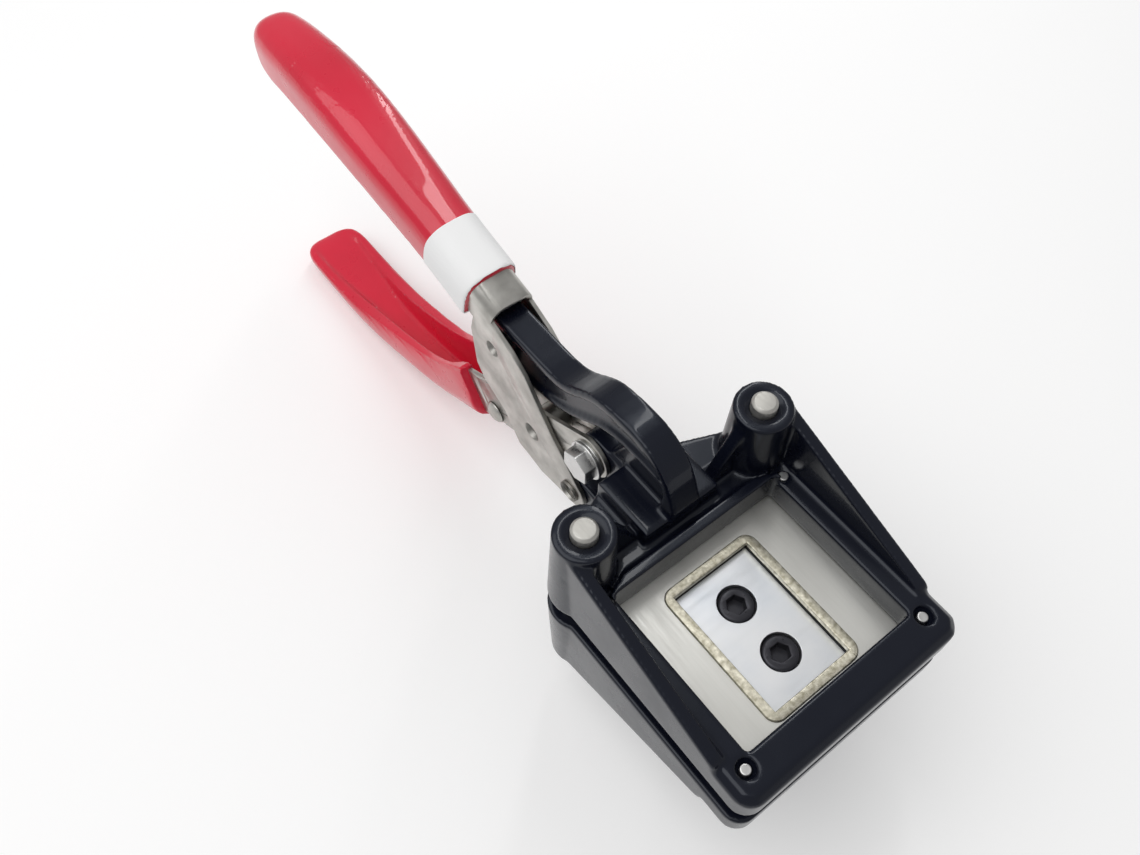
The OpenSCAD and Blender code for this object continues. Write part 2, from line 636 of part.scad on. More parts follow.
// Sleeve section as [x, n] points: rounded back, two walls and a trough that faces the other handle
function arc(cx, cn, r, a0, a1, k) = [for (i = [0 : k]) let (a = a0 + (a1 - a0) * i / k)
    [cx + r * cos(a), cn + r * sin(a)]];
function sleeve(hw, hi, lo, r, tw, td, tc) = concat(
    arc(hw - r, hi - r, r, 0, 90, 5), arc(r - hw, hi - r, r, 90, 180, 5),
    arc(0.8 - hw, lo + 0.8, 0.8, 180, 250, 2), arc(-tw - 0.5, lo + 0.5, 0.5, 290, 360, 2),
    [[-tw, td - tc], [tc - tw, td], [tw - tc, td], [tw, td - tc]],
    arc(tw + 0.5, lo + 0.5, 0.5, 180, 250, 2), arc(hw - 0.8, lo + 0.8, 0.8, 290, 360, 2));

// Points of a run of sections along a line; up = 1 puts the rounded back above, -1 below
function loft_dir(k, i) = let (d = k[min(i + 1, len(k) - 1)] - k[max(i - 1, 0)]) d / norm(d);
function loft_pts(k, secs, up) = [for (i = [0 : len(k) - 1], p = secs[i])
    let (t = loft_dir(k, i), v = up * p[1]) [up * p[0], k[i][0] - t[1] * v, k[i][1] + t[0] * v]];
function loft_faces(n, m, base) = [for (i = [0 : n - 2], j = [0 : m - 1])
    let (k = (j + 1) % m, b = base + m * i) [b + j, b + m + j, b + m + k, b + k]];
function flip(f) = [for (q = f) back(q)];

// Sleeve with a pocket for the steel, the pocket open in front and closed behind
module sleeve_loft(outer, out_secs, inner, in_secs, up) {
    m = len(out_secs[0]);
    n = len(outer);
    w = len(inner);
    b = n * m;
    mouth = [for (j = [0 : m - 1]) let (k = (j + 1) % m) [j, k, b + k, b + j]];
    polyhedron(concat(loft_pts(outer, out_secs, up), loft_pts(inner, in_secs, up)),
        concat(halves(loft_faces(n, m, 0)), halves(mouth), halves(flip(loft_faces(w, m, b))),
            [[for (j = [m - 1 : -1 : 0]) m * (n - 1) + j]], [[for (j = [0 : m - 1]) b + m * (w - 1) + j]]));
}

// Straight steps through key points, and the rounded end that follows the last one
function steps(k, n) = [for (i = [0 : n * (len(k) - 1)])
    let (j = min(floor(i / n), len(k) - 2), t = i / n - j) k[j] + (k[j + 1] - k[j]) * t];
function along(k, y) = k[0] + (k[1] - k[0]) * (y / (k[1][0] - k[0][0]));
tip = [1.5, 3.2, 4.8, 6, 6.8, 7.2];
tip_r = 7.5;
function tip_pts(k) = let (n = len(k) - 1, d = k[n] - k[n - 1]) [for (q = tip) k[n] + q * d / norm(d)];
function tip_scale(q) = sqrt(1 - q * q / (tip_r * tip_r));
function belly(u) = 0.9 * sin(180 * min(1, max(0, (u - 0.15) / 0.85)));

function grip_keys(path, start) = concat([along(path, start)], [for (i = [1 : len(path) - 1]) path[i]]);
function shrunk(sec, e) = let (v = [for (q = sec) q[1]], c = (max(v) + min(v)) / 2)
    [for (q = sec) [q[0] * e, c + (q[1] - c) * e]];

function ease(u, a, b) = let (t = min(1, max(0, (u - a) / (b - a)))) t * t * (3 - 2 * t);

module grip(keys, hw, t_in, h, r, bell, flare, shallow, spread, tail, steel_tail, up) {
    body = curve(keys, sub);
    n = len(body) - 1;
    deep = h / 2 - sheet_t - coat_in;
    floor_in = h / 2 - sheet_t - bed;
    slant = 1 - tan(22.5);
    lining = slant * (r - sheet_t - bed);
    function wide(i) = spread * min(1, max(0, i - 1));
    function edge(u, share, end) = h / 2 - h * wall_share(u, share, end);
    function one(i) = let (u = i / n, b = bell * belly(u), lo = edge(u, tail, grip_end) - lip,
        hi = h / 2 + coat + 0.4 * b, td = deep - shallow * ease(u, 0.2, 0.9))
        sleeve(grip_hw + b + flare * ease(u, 0.1, 0.8), hi, lo, min(r + coat, hi - lo - 1),
            t_in + wide(i) - coat_in + 1.2 * flare * ease(u, 0.65, 0.95), td, min(lining, 0.4 * (td - lo)));
    outs = concat([for (i = [0 : n]) one(i)], [for (q = tip) shrunk(one(n), tip_scale(q))]);
    ins = [for (i = [0 : n]) sleeve(hw + wide(i) + bed, h / 2 + bed,
        edge(i / n, steel_tail, steel_end) - head_room, slant * r + bed - 1.2 * (spread - wide(i)),
        t_in + wide(i) - bed, floor_in, lining)];
    sleeve_loft(concat(body, tip_pts(body)), outs, steps_end(keys), ins, up);
}

// The pocket runs just past the end of the steel
function steps_end(k) = let (p = steps(k, sub), n = len(p) - 1, d = p[n] - p[n - 1])
    [for (i = [0 : n]) i < n ? p[i] : p[n] + d * bed / norm(d)];

module upper_grip() color([0.8, 0.12, 0.18]) {
    grip(grip_keys(u_path, u_grip_dy), uh_out, uh_in, u_chan_h, shoulder_r, 1.6, 0, 0.45 * u_chan_h,
        0, 1, 1, 1);
}

module lower_grip() color([0.8, 0.12, 0.18]) {
    grip(l_keys, lh_out, lh_in, l_chan_h, l_shoulder_r, 0, l_flare, 0.18 * l_chan_h, l_spread,
        l_tail, l_steel_tail, -1);
}

upper_casting();
die_plate();
die_ring();
slot_rails();
stripper_plate();
die_screws();
link_bolt();
link_washers();
link_nut();
return_spring_left();
return_spring_right();
lower_casting();
guide_post_left();
guide_post_right();
punch();
punch_screws();
lower_lever();
lower_grip();
tie_rivet();
tie_spacer();
upper_lever();
upper_grip();
main_pivot();
pivot_spacer();
arm_pin();
lift_pin();
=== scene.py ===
import math

import bmesh
import bpy
import numpy as np
from mathutils import Matrix, Vector


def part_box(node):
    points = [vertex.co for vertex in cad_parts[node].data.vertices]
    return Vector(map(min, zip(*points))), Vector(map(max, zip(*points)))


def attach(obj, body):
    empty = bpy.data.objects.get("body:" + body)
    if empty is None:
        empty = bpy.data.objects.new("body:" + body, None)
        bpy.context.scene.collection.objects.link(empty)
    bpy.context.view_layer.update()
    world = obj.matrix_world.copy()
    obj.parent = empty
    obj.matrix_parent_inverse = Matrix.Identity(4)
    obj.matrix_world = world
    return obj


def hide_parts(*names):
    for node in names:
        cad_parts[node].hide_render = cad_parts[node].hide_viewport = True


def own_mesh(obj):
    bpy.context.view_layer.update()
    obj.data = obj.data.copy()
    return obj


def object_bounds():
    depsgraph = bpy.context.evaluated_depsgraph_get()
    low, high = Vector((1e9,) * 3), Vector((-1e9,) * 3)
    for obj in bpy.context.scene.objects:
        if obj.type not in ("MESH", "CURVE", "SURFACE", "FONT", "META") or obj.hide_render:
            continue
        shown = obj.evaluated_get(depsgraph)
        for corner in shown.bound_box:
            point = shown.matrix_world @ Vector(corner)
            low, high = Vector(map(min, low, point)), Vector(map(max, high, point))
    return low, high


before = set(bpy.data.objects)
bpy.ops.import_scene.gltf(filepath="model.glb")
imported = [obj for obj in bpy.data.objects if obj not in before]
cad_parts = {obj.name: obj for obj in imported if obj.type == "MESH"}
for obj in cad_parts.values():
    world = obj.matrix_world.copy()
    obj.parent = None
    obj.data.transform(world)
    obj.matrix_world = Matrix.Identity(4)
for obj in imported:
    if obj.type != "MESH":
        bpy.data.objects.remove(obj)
cad_low, cad_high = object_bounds()

# Lower casting: the sliding half of the head, cast in one piece with two post bosses and side gussets.
# It is finished in a glossy blue-black enamel that softens every edge, and it is pressed on to the posts.
enamel_colour = (0.004, 0.005, 0.011)
enamel_glint = (0.8, 0.88, 1)
casting_grid = 0.0005
casting_soft_passes = 4
same_spot = 1e-6
noise_low = 0.3
noise_high = 0.7
cloud_low = 0.32
cloud_high = 0.68


def sockets(finish):
    """The inputs of a finish's surface shader."""
    return finish.node_tree.nodes["Principled BSDF"].inputs


def new_finish(name, colour, metallic=0.0):
    finish = bpy.data.materials.new(name)
    finish.use_nodes = True
    sockets(finish)["Base Color"].default_value = (*colour, 1)
    sockets(finish)["Metallic"].default_value = metallic
    return finish


def gloss(finish, specular, coat, coat_roughness):
    """A clear shine over the colour."""
    sockets(finish)["Specular IOR Level"].default_value = specular
    sockets(finish)["Coat Weight"].default_value = coat
    sockets(finish)["Coat Roughness"].default_value = coat_roughness


def grain(finish, scale, stretch, detail):
    """Noise on the piece's own coordinates, drawn out along an axis whose stretch is small."""
    tree = finish.node_tree
    place = tree.nodes.new("ShaderNodeTexCoord")
    mapping = tree.nodes.new("ShaderNodeMapping")
    mapping.inputs["Scale"].default_value = stretch
    noise = tree.nodes.new("ShaderNodeTexNoise")
    noise.inputs["Scale"].default_value = scale
    noise.inputs["Detail"].default_value = detail
    tree.links.new(place.outputs["Object"], mapping.inputs["Vector"])
    tree.links.new(mapping.outputs["Vector"], noise.inputs["Vector"])
    return noise.outputs["Fac"]


def roughen(finish, low, high, scale, stretch=(1, 1, 1), detail=3.0):
    """Roughness that wanders between two values."""
    tree = finish.node_tree
    spread = tree.nodes.new("ShaderNodeMapRange")
    spread.inputs["From Min"].default_value = noise_low
    spread.inputs["From Max"].default_value = noise_high
    spread.inputs["To Min"].default_value = low
    spread.inputs["To Max"].default_value = high
    tree.links.new(grain(finish, scale, stretch, detail), spread.inputs["Value"])
    tree.links.new(spread.outputs["Result"], sockets(finish)["Roughness"])


def cloud(finish, dark, light, scale, stretch=(1, 1, 1), detail=3.0):
    """Colour that wanders between a dark and a light tone."""
    tree = finish.node_tree
    ramp = tree.nodes.new("ShaderNodeValToRGB")
    for stop, place, tone in zip(ramp.color_ramp.elements, (cloud_low, cloud_high), (dark, light)):
        stop.position = place
        stop.color = (*tone, 1)
    tree.links.new(grain(finish, scale, stretch, detail), ramp.inputs["Fac"])
    tree.links.new(ramp.outputs["Color"], sockets(finish)["Base Color"])


def relief(finish, strength, depth, scale, stretch=(1, 1, 1), detail=3.0):
    """Fine unevenness of the surface."""
    tree = finish.node_tree
    bump = tree.nodes.new("ShaderNodeBump")
    bump.inputs["Strength"].default_value = strength
    bump.inputs["Distance"].default_value = depth
    tree.links.new(grain(finish, scale, stretch, detail), bump.inputs["Height"])
    tree.links.new(bump.outputs["Normal"], sockets(finish)["Normal"])


def plain_mesh(piece):
    """The piece's modifiers become part of its mesh."""
    bpy.context.view_layer.update()
    shown = piece.evaluated_get(bpy.context.evaluated_depsgraph_get())
    piece.data = bpy.data.meshes.new_from_object(shown)
    piece.modifiers.clear()


def merged_copy(node, name):
    """A copy of a CAD solid whose loose triangles are joined."""
    piece = bpy.data.objects.new(name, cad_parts[node].data.copy())
    bpy.context.scene.collection.objects.link(piece)
    shell = bmesh.new()
    shell.from_mesh(piece.data)
    bmesh.ops.remove_doubles(shell, verts=shell.verts, dist=same_spot)
    shell.to_mesh(piece.data)
    shell.free()
    return piece


def soften(piece, grid, passes):
    """Small even radii on every edge, as dipping or casting leaves them."""
    skin = piece.modifiers.new("skin", "REMESH")
    skin.mode = "VOXEL"
    skin.voxel_size = grid
    soft = piece.modifiers.new("soft", "SMOOTH")
    soft.factor = 0.5
    soft.iterations = passes
    plain_mesh(piece)
    piece.data.shade_smooth()


def dress(piece, node, body, finish):
    """Gives a piece its finish and puts it in the place of its CAD node."""
    piece.data.materials.clear()
    piece.data.materials.append(finish)
    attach(piece, body)
    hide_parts(node)


enamel = new_finish("blue_black_enamel", enamel_colour)
gloss(enamel, specular=0.24, coat=0.25, coat_roughness=0.06)
sockets(enamel)["Specular Tint"].default_value = (*enamel_glint, 1)
roughen(enamel, low=0.22, high=0.32, scale=90)
relief(enamel, strength=0.12, depth=0.0001, scale=420, detail=2)

lower_casting = merged_copy("lower_casting", "lower_casting_enamelled")
soften(lower_casting, casting_grid, casting_soft_passes)
dress(lower_casting, "lower_casting", "lower_head", enamel)

# Guide posts: two ground steel rods, pressed into the lower casting, on which the upper half slides.
# Their turned ends show above the upper bosses.
post_colour = (0.5, 0.49, 0.46)
turned_edge = 0.00012
flat_angle = math.radians(0.6)
edge_angle = math.radians(32)


def edged_copy(node, name, edge, steps=2, crease=18, rework=None):
    """A copy of a CAD solid with flat faces joined and its outer edges slightly broken.

    crease is the angle in degrees above which two faces meet in a visible edge,
    and rework is a function that changes the mesh before its edges are broken.
    """
    piece = merged_copy(node, name)
    shell = bmesh.new()
    shell.from_mesh(piece.data)
    bmesh.ops.dissolve_limit(shell, angle_limit=flat_angle, verts=shell.verts, edges=shell.edges)
    shell.normal_update()
    if rework:
        rework(shell)
    outer = shell.edges.layers.float.new("bevel_weight_edge")
    for e in shell.edges:
        if e.is_convex and e.calc_face_angle(0) > edge_angle:
            e[outer] = 1
    shell.to_mesh(piece.data)
    shell.free()
    broken = piece.modifiers.new("broken_edge", "BEVEL")
    broken.width = edge
    broken.segments = steps
    broken.limit_method = "WEIGHT"
    broken.use_clamp_overlap = False
    plain_mesh(piece)
    piece.data.shade_smooth()
    piece.data.set_sharp_from_angle(angle=math.radians(crease))
    return piece


post_steel = new_finish("ground_post_steel", post_colour, metallic=1)
roughen(post_steel, low=0.45, high=0.6, scale=1500, stretch=(1, 0.2, 1))
for side in ("left", "right"):
    post = edged_copy("guide_post_" + side, "guide_post_turned_" + side, turned_edge)
    dress(post, "guide_post_" + side, "lower_head", post_steel)

# Punch: a hardened block of the photo's size, ground bright on top and bolted into the lower casting.
# Its two black socket screws sit in counterbores.
punch_reflection_dark = (0.66, 0.69, 0.73)
punch_reflection_light = (0.78, 0.785, 0.79)
punch_edge = 0.00008
oxide_colour = (0.035, 0.035, 0.042)
screw_edge = 0.0003
screw_edge_steps = 3

punch_steel = new_finish("ground_punch_steel", punch_reflection_light, metallic=1)
# The top is clouded light and dark as painted reflection of the surroundings.
cloud(punch_steel, punch_reflection_dark, punch_reflection_light, scale=55)
roughen(punch_steel, low=0.36, high=0.5, scale=700, stretch=(0.15, 1, 1))
punch = edged_copy("punch", "punch_ground", punch_edge)
dress(punch, "punch", "lower_head", punch_steel)

black_oxide = new_finish("black_oxide", oxide_colour, metallic=0.6)
roughen(black_oxide, low=0.26, high=0.4, scale=900)
punch_screws = edged_copy("punch_screws", "socket_screws", screw_edge, screw_edge_steps)
dress(punch_screws, "punch_screws", "lower_head", black_oxide)

# Stripper plate and slot rails: steel strips under the die that leave a thin slot for the photo, coloured
# black as painted shade so the slot stays dark.
# The corner screws clamp them against the upper casting.
painted_shade_colour = (0.05, 0.05, 0.055)
strip_edge = 0.0001

# Their black is painted shade: it stands for the shade inside the slot, not a finish of the steel.
painted_shade_finish = new_finish("painted_shade_black_steel", painted_shade_colour, metallic=0.8)
roughen(painted_shade_finish, low=0.36, high=0.5, scale=500, stretch=(0.1, 1, 1))
for node in ("stripper_plate", "slot_rails"):
    strip = edged_copy(node, node + "_painted_shade_black", strip_edge)
    dress(strip, node, "upper_head", painted_shade_finish)

# Die plate: a flat steel plate in the floor of the window, brushed along the tool.
# The four corner screws hold it up against the casting.
die_dark = (0.56, 0.555, 0.525)
die_light = (0.74, 0.735, 0.7)
die_edge = 0.0001

die_steel = new_finish("brushed_die_steel", die_light, metallic=1)
cloud(die_steel, die_dark, die_light, scale=38, stretch=(1, 0.5, 1))
roughen(die_steel, low=0.4, high=0.55, scale=2600, stretch=(1, 0.04, 1))
relief(die_steel, strength=0.15, depth=0.00002, scale=3000, stretch=(1, 0.03, 1))
die_plate = edged_copy("die_plate", "die_plate_brushed", die_edge)
dress(die_plate, "die_plate", "upper_head", die_steel)

# Die ring: the hardened frame round the opening that the punch shears against.
# It is ground to a rounded outer edge, and handling leaves it yellowed and specked.
ring_dark = (0.36, 0.335, 0.25)
ring_light = (0.72, 0.69, 0.58)
ring_edge = 0.0003
ring_edge_steps = 3

ring_steel = new_finish("hardened_ring_steel", ring_light, metallic=1)
cloud(ring_steel, ring_dark, ring_light, scale=900, detail=6)
roughen(ring_steel, low=0.34, high=0.52, scale=800)
die_ring = edged_copy("die_ring", "die_ring_ground", ring_edge, ring_edge_steps)
dress(die_ring, "die_ring", "upper_head", ring_steel)

# Upper casting: the fixed half of the head with the window, the bosses, the lug and the humped arm.
# It is one casting in the same enamel as the lower half.
upper_casting = merged_copy("upper_casting", "upper_casting_enamelled")
soften(upper_casting, casting_grid, casting_soft_passes)
dress(upper_casting, "upper_casting", "upper_head", enamel)

# Die screws: four bright screws through stripper, rails and die plate into the casting.
# The front two end in counterbores, the rear two just above the rim.
bright_colour = (0.66, 0.66, 0.65)

bright_zinc = new_finish("bright_zinc", bright_colour, metallic=1)
roughen(bright_zinc, low=0.26, high=0.4, scale=600)
die_screws = edged_copy("die_screws", "die_screws_bright", screw_edge, screw_edge_steps)
dress(die_screws, "die_screws", "upper_head", bright_zinc)

# Return springs: two coils of round wire on the guide posts that push the halves apart.
# They are held in the counterbores of the bosses; the real springs shorten as the head closes, but these are
# built at one length and ride with the upper half.
spring_colour = (0.42, 0.42, 0.43)
spring_turns = 9
turn_steps = 40
wire_radius = 0.0005
wire_sides = 14


def coil_tree():
    """Two like coils of wire, one on each side of the middle."""
    tree = bpy.data.node_groups.new("wound_wire", "GeometryNodeTree")
    face = tree.interface
    for name in ("Turns", "Coil radius", "Height", "Wire radius", "Spacing"):
        face.new_socket(name=name, in_out="INPUT", socket_type="NodeSocketFloat")
    face.new_socket(name="Finish", in_out="INPUT", socket_type="NodeSocketMaterial")
    face.new_socket(name="Geometry", in_out="OUTPUT", socket_type="NodeSocketGeometry")
    start = tree.nodes.new("NodeGroupInput")
    coil = tree.nodes.new("GeometryNodeCurveSpiral")
    coil.inputs["Resolution"].default_value = turn_steps
    wire = tree.nodes.new("GeometryNodeCurvePrimitiveCircle")
    wire.inputs["Resolution"].default_value = wire_sides
    tube = tree.nodes.new("GeometryNodeCurveToMesh")
    tube.inputs["Fill Caps"].default_value = True
    pair = tree.nodes.new("GeometryNodeMeshLine")
    pair.mode = "END_POINTS"
    pair.inputs["Count"].default_value = 2
    left = tree.nodes.new("ShaderNodeCombineXYZ")
    minus = tree.nodes.new("ShaderNodeMath")
    minus.operation = "MULTIPLY"
    minus.inputs[1].default_value = -1
    right = tree.nodes.new("ShaderNodeCombineXYZ")
    place = tree.nodes.new("GeometryNodeInstanceOnPoints")
    real = tree.nodes.new("GeometryNodeRealizeInstances")
    smooth = tree.nodes.new("GeometryNodeSetShadeSmooth")
    paint = tree.nodes.new("GeometryNodeSetMaterial")
    end = tree.nodes.new("NodeGroupOutput")
    link = tree.links.new
    link(start.outputs["Turns"], coil.inputs["Rotations"])
    link(start.outputs["Coil radius"], coil.inputs["Start Radius"])
    link(start.outputs["Coil radius"], coil.inputs["End Radius"])
    link(start.outputs["Height"], coil.inputs["Height"])
    link(start.outputs["Wire radius"], wire.inputs["Radius"])
    link(coil.outputs["Curve"], tube.inputs["Curve"])
    link(wire.outputs["Curve"], tube.inputs["Profile Curve"])
    link(start.outputs["Spacing"], right.inputs["X"])
    link(start.outputs["Spacing"], minus.inputs[0])
    link(minus.outputs["Value"], left.inputs["X"])
    link(left.outputs["Vector"], pair.inputs["Start Location"])
    link(right.outputs["Vector"], pair.inputs["Offset"])
    link(pair.outputs["Mesh"], place.inputs["Points"])
    link(tube.outputs["Mesh"], place.inputs["Instance"])
    link(place.outputs["Instances"], real.inputs["Geometry"])
    link(real.outputs["Geometry"], smooth.inputs["Geometry"])
    link(smooth.outputs["Geometry"], paint.inputs["Geometry"])
    link(start.outputs["Finish"], paint.inputs["Material"])
    link(paint.outputs["Geometry"], end.inputs["Geometry"])
    return tree


def grown(tree, name, sizes):
    """A new object made by a node tree, with its inputs set by name."""
    piece = bpy.data.objects.new(name, bpy.data.meshes.new(name))
    bpy.context.scene.collection.objects.link(piece)
    maker = piece.modifiers.new("maker", "NODES")
    maker.node_group = tree
    for socket in tree.interface.items_tree:
        if socket.in_out == "INPUT":
            maker[socket.identifier] = sizes[socket.name]
    plain_mesh(piece)
    return piece


spring_steel = new_finish("spring_steel", spring_colour, metallic=1)
roughen(spring_steel, low=0.28, high=0.42, scale=1200)
spring_low, spring_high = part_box("return_spring_right")
spring_middle = (spring_low + spring_high) / 2
spring_length = spring_high.z - spring_low.z
springs = grown(coil_tree(), "return_springs_wound", {
    "Turns": float(spring_turns),
    "Coil radius": (spring_high.x - spring_low.x) / 2 - wire_radius,
    "Height": spring_length - 2 * wire_radius,
    "Wire radius": wire_radius,
    "Spacing": spring_middle.x,
    "Finish": spring_steel,
})
springs.data.transform(Matrix.Translation((0, spring_middle.y, spring_low.z + wire_radius)))
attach(springs, "upper_head")
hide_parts("return_spring_left", "return_spring_right")
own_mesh(springs)

# Link bolt: a zinc plated hexagon bolt with two washers and a nut through the casting's rear lug.
# The lower lever swings on it.
for node in ("link_bolt", "link_washers", "link_nut"):
    fastener = edged_copy(node, node + "_zinc", screw_edge, screw_edge_steps)
    dress(fastener, node, "upper_head", bright_zinc)

# Lower lever: pressed steel sheet bent into a channel, with two ears that reach forward to the link bolt.
# A domed rivet and a spacer tie its walls behind the main pivot.
lever_dark = (0.36, 0.35, 0.325)
lever_light = (0.62, 0.605, 0.57)
sheet_edge = 0.0002
dome_edge = 0.0003
spacer_edge = 0.0001
pressed_edge_steps = 1
pressed_crease = 40


def split_wide_faces(shell):
    """Cuts faces with many corners into triangles, so that the broken edges leave a closed mesh."""
    bmesh.ops.triangulate(shell, faces=[f for f in shell.faces if len(f.verts) > 4])


lever_steel = new_finish("satin_lever_steel", lever_light, metallic=1)
cloud(lever_steel, lever_dark, lever_light, scale=120, detail=5)
roughen(lever_steel, low=0.3, high=0.48, scale=300, detail=6)
relief(lever_steel, strength=0.08, depth=0.00005, scale=500, detail=4)
for node, edge, rework in (
    ("lower_lever", sheet_edge, split_wide_faces),
    ("tie_rivet", dome_edge, None),
    ("tie_spacer", spacer_edge, None),
):
    pressing = edged_copy(node, node + "_pressed", edge, pressed_edge_steps, pressed_crease, rework)
    dress(pressing, node, "lower_handle", lever_steel)

# Lower grip: a sleeve of glossy red vinyl that the channel's end was dipped in, walls, floor and all.
# It is thickest on the back and leaves the trough between the walls open.
vinyl_dark = (0.6, 0.011, 0.036)
vinyl_light = (0.7, 0.015, 0.047)
vinyl_grid = 0.0004
vinyl_soft_passes = 24
mouth_depth = 0.003
mouth_facing = 0.9
tip_length = 0.011
tip_fade = tip_length / 2
tip_passes = 110
flow_passes = 300
flow_strength = 0.8
flow_from_mouth = 0.004
flow_fade_at_mouth = 0.006
flow_from_tip = 0.014
flow_fade_at_tip = 0.01
end_face_hold = 1.6
lengthwise_power = 6
least_share = 1e-9
lower_tilt = math.radians(-29.4)


def round_tip(piece):
    """Draws the grip's closed end to a fuller round, as the last drop of vinyl sets there."""
    tip = piece.vertex_groups.new(name="tip")
    start = max(v.co.y for v in piece.data.vertices) - tip_length
    for v in piece.data.vertices:
        if v.co.y > start:
            tip.add([v.index], min(1, (v.co.y - start) / tip_fade), "REPLACE")
    full = piece.modifiers.new("full", "SMOOTH")
    full.vertex_group = "tip"
    full.factor = 0.5
    full.iterations = tip_passes
    plain_mesh(piece)
    piece.vertex_groups.clear()


def read_rows(items, name, width, kind=float):
    """One value of every vertex, normal or edge, as the rows of an array."""
    values = np.empty(len(items) * width, dtype=kind)
    items.foreach_get(name, values)
    return values.reshape(-1, width)


def flow_along(piece):
    """Evens the skin along the grip only, as the vinyl runs before it sets; mouth and tip stay."""
    mesh = piece.data
    count = len(mesh.vertices)
    spots = read_rows(mesh.vertices, "co", 3)
    facing = read_rows(mesh.vertex_normals, "vector", 3)
    first, second = read_rows(mesh.edges, "vertices", 2, np.int32).T
    step = spots[second] - spots[first]
    share = (np.abs(step[:, 1]) / np.linalg.norm(step, axis=1)) ** lengthwise_power
    total = np.bincount(first, share, count) + np.bincount(second, share, count) + least_share
    y = spots[:, 1]
    free = np.clip(1 - end_face_hold * np.abs(facing[:, 1]), 0, 1)
    free *= np.clip((y - y.min() - flow_from_mouth) / flow_fade_at_mouth, 0, 1)
    free *= np.clip((y.max() - flow_from_tip - y) / flow_fade_at_tip, 0, 1)
    for _ in range(flow_passes):
        lean = np.zeros(count)
        for axis in range(3):
            pull = np.bincount(first, share * spots[second, axis], count)
            pull += np.bincount(second, share * spots[first, axis], count)
            lean += (pull / total - spots[:, axis]) * facing[:, axis]
        spots += facing * (flow_strength * free * lean)[:, None]
    mesh.vertices.foreach_set("co", spots.ravel())
    mesh.update()


def dipped_sleeve(node, name, tilt):
    """The grip's outside as one closed skin: the mouth is closed and the pocket for the steel left out."""
    piece = merged_copy(node, name)
    shell = bmesh.new()
    shell.from_mesh(piece.data)
    along = Vector((0, math.cos(tilt), math.sin(tilt)))
    front = min(v.co.dot(along) for v in shell.verts)
    mouth = [f for f in shell.faces if f.normal.dot(along) < -mouth_facing
             and f.calc_center_median().dot(along) < front + mouth_depth]
    bmesh.ops.delete(shell, geom=mouth, context="FACES")
    outside = set()
    to_visit = [max(shell.verts, key=lambda v: v.co.x)]
    while to_visit:
        spot = to_visit.pop()
        if spot not in outside:
            outside.add(spot)
            to_visit.extend(e.other_vert(spot) for e in spot.link_edges)
    pocket = [v for v in shell.verts if v not in outside]
    bmesh.ops.delete(shell, geom=pocket, context="VERTS")
    rim = [e for e in shell.edges if e.is_boundary]
    bmesh.ops.holes_fill(shell, edges=rim, sides=0)
    bmesh.ops.recalc_face_normals(shell, faces=shell.faces)
    shell.to_mesh(piece.data)
    shell.free()
    soften(piece, vinyl_grid, vinyl_soft_passes)
    round_tip(piece)
    flow_along(piece)
    return piece


vinyl = new_finish("red_dipped_vinyl", vinyl_light)
gloss(vinyl, specular=0.3, coat=0.55, coat_roughness=0.03)
cloud(vinyl, vinyl_dark, vinyl_light, scale=25)
roughen(vinyl, low=0.26, high=0.34, scale=160)
lower_grip = dipped_sleeve("lower_grip", "lower_grip_dipped", lower_tilt)
dress(lower_grip, "lower_grip", "lower_handle", vinyl)

# Upper lever: pressed steel sheet with two wide cheeks and a round-backed neck that runs into the grip.
# The main pivot rivet, its spacer, the arm pin and the lift pin are riveted through its cheeks.
rivet_colour = (0.36, 0.35, 0.33)
rivet_edge = 0.0002
rivet_edge_steps = 3
rivet_wall = 0.0006
rivet_depth = 0.0014
end_facing = 0.99
end_share = 0.98


def sink_ends(shell):
    """Hollows the two end faces, as those of tubular rivets are."""
    reach = max(abs(v.co.x) for v in shell.verts)
    ends = [f for f in shell.faces if abs(f.normal.x) > end_facing
            and abs(f.calc_center_median().x) > end_share * reach]
    bmesh.ops.inset_region(shell, faces=ends, thickness=rivet_wall)
    for f in ends:
        bmesh.ops.translate(shell, verts=f.verts, vec=f.normal * -rivet_depth)
    shell.normal_update()


upper_lever = edged_copy("upper_lever", "upper_lever_pressed", sheet_edge, pressed_edge_steps, pressed_crease)
dress(upper_lever, "upper_lever", "upper_handle", lever_steel)
pivot_spacer = edged_copy("pivot_spacer", "pivot_spacer_turned", spacer_edge)
dress(pivot_spacer, "pivot_spacer", "upper_handle", lever_steel)
rivet_steel = new_finish("worn_rivet_steel", rivet_colour, metallic=1)
roughen(rivet_steel, low=0.4, high=0.55, scale=700)
for node in ("main_pivot", "arm_pin", "lift_pin"):
    pin = edged_copy(node, node + "_riveted", rivet_edge, rivet_edge_steps, rework=sink_ends)
    dress(pin, node, "upper_handle", rivet_steel)

# Upper grip: the same dipped sleeve on the upper lever, with its rounded back on top.
# The trough under it stays open.
upper_tilt = math.radians(13)

upper_grip = dipped_sleeve("upper_grip", "upper_grip_dipped", upper_tilt)
dress(upper_grip, "upper_grip", "upper_handle", vinyl)

# Paper band: a strip of bare white paper stuck round the front of the upper grip.
# It is cut from the grip's own skin, lifted off it by half its thickness and open along the trough.
paper_colour = (0.88, 0.88, 0.88)
paper_thickness = 0.00015
band_start = 0.0003
band_length = 0.0165
outward_limit = 0.2
trough_limit = -0.5

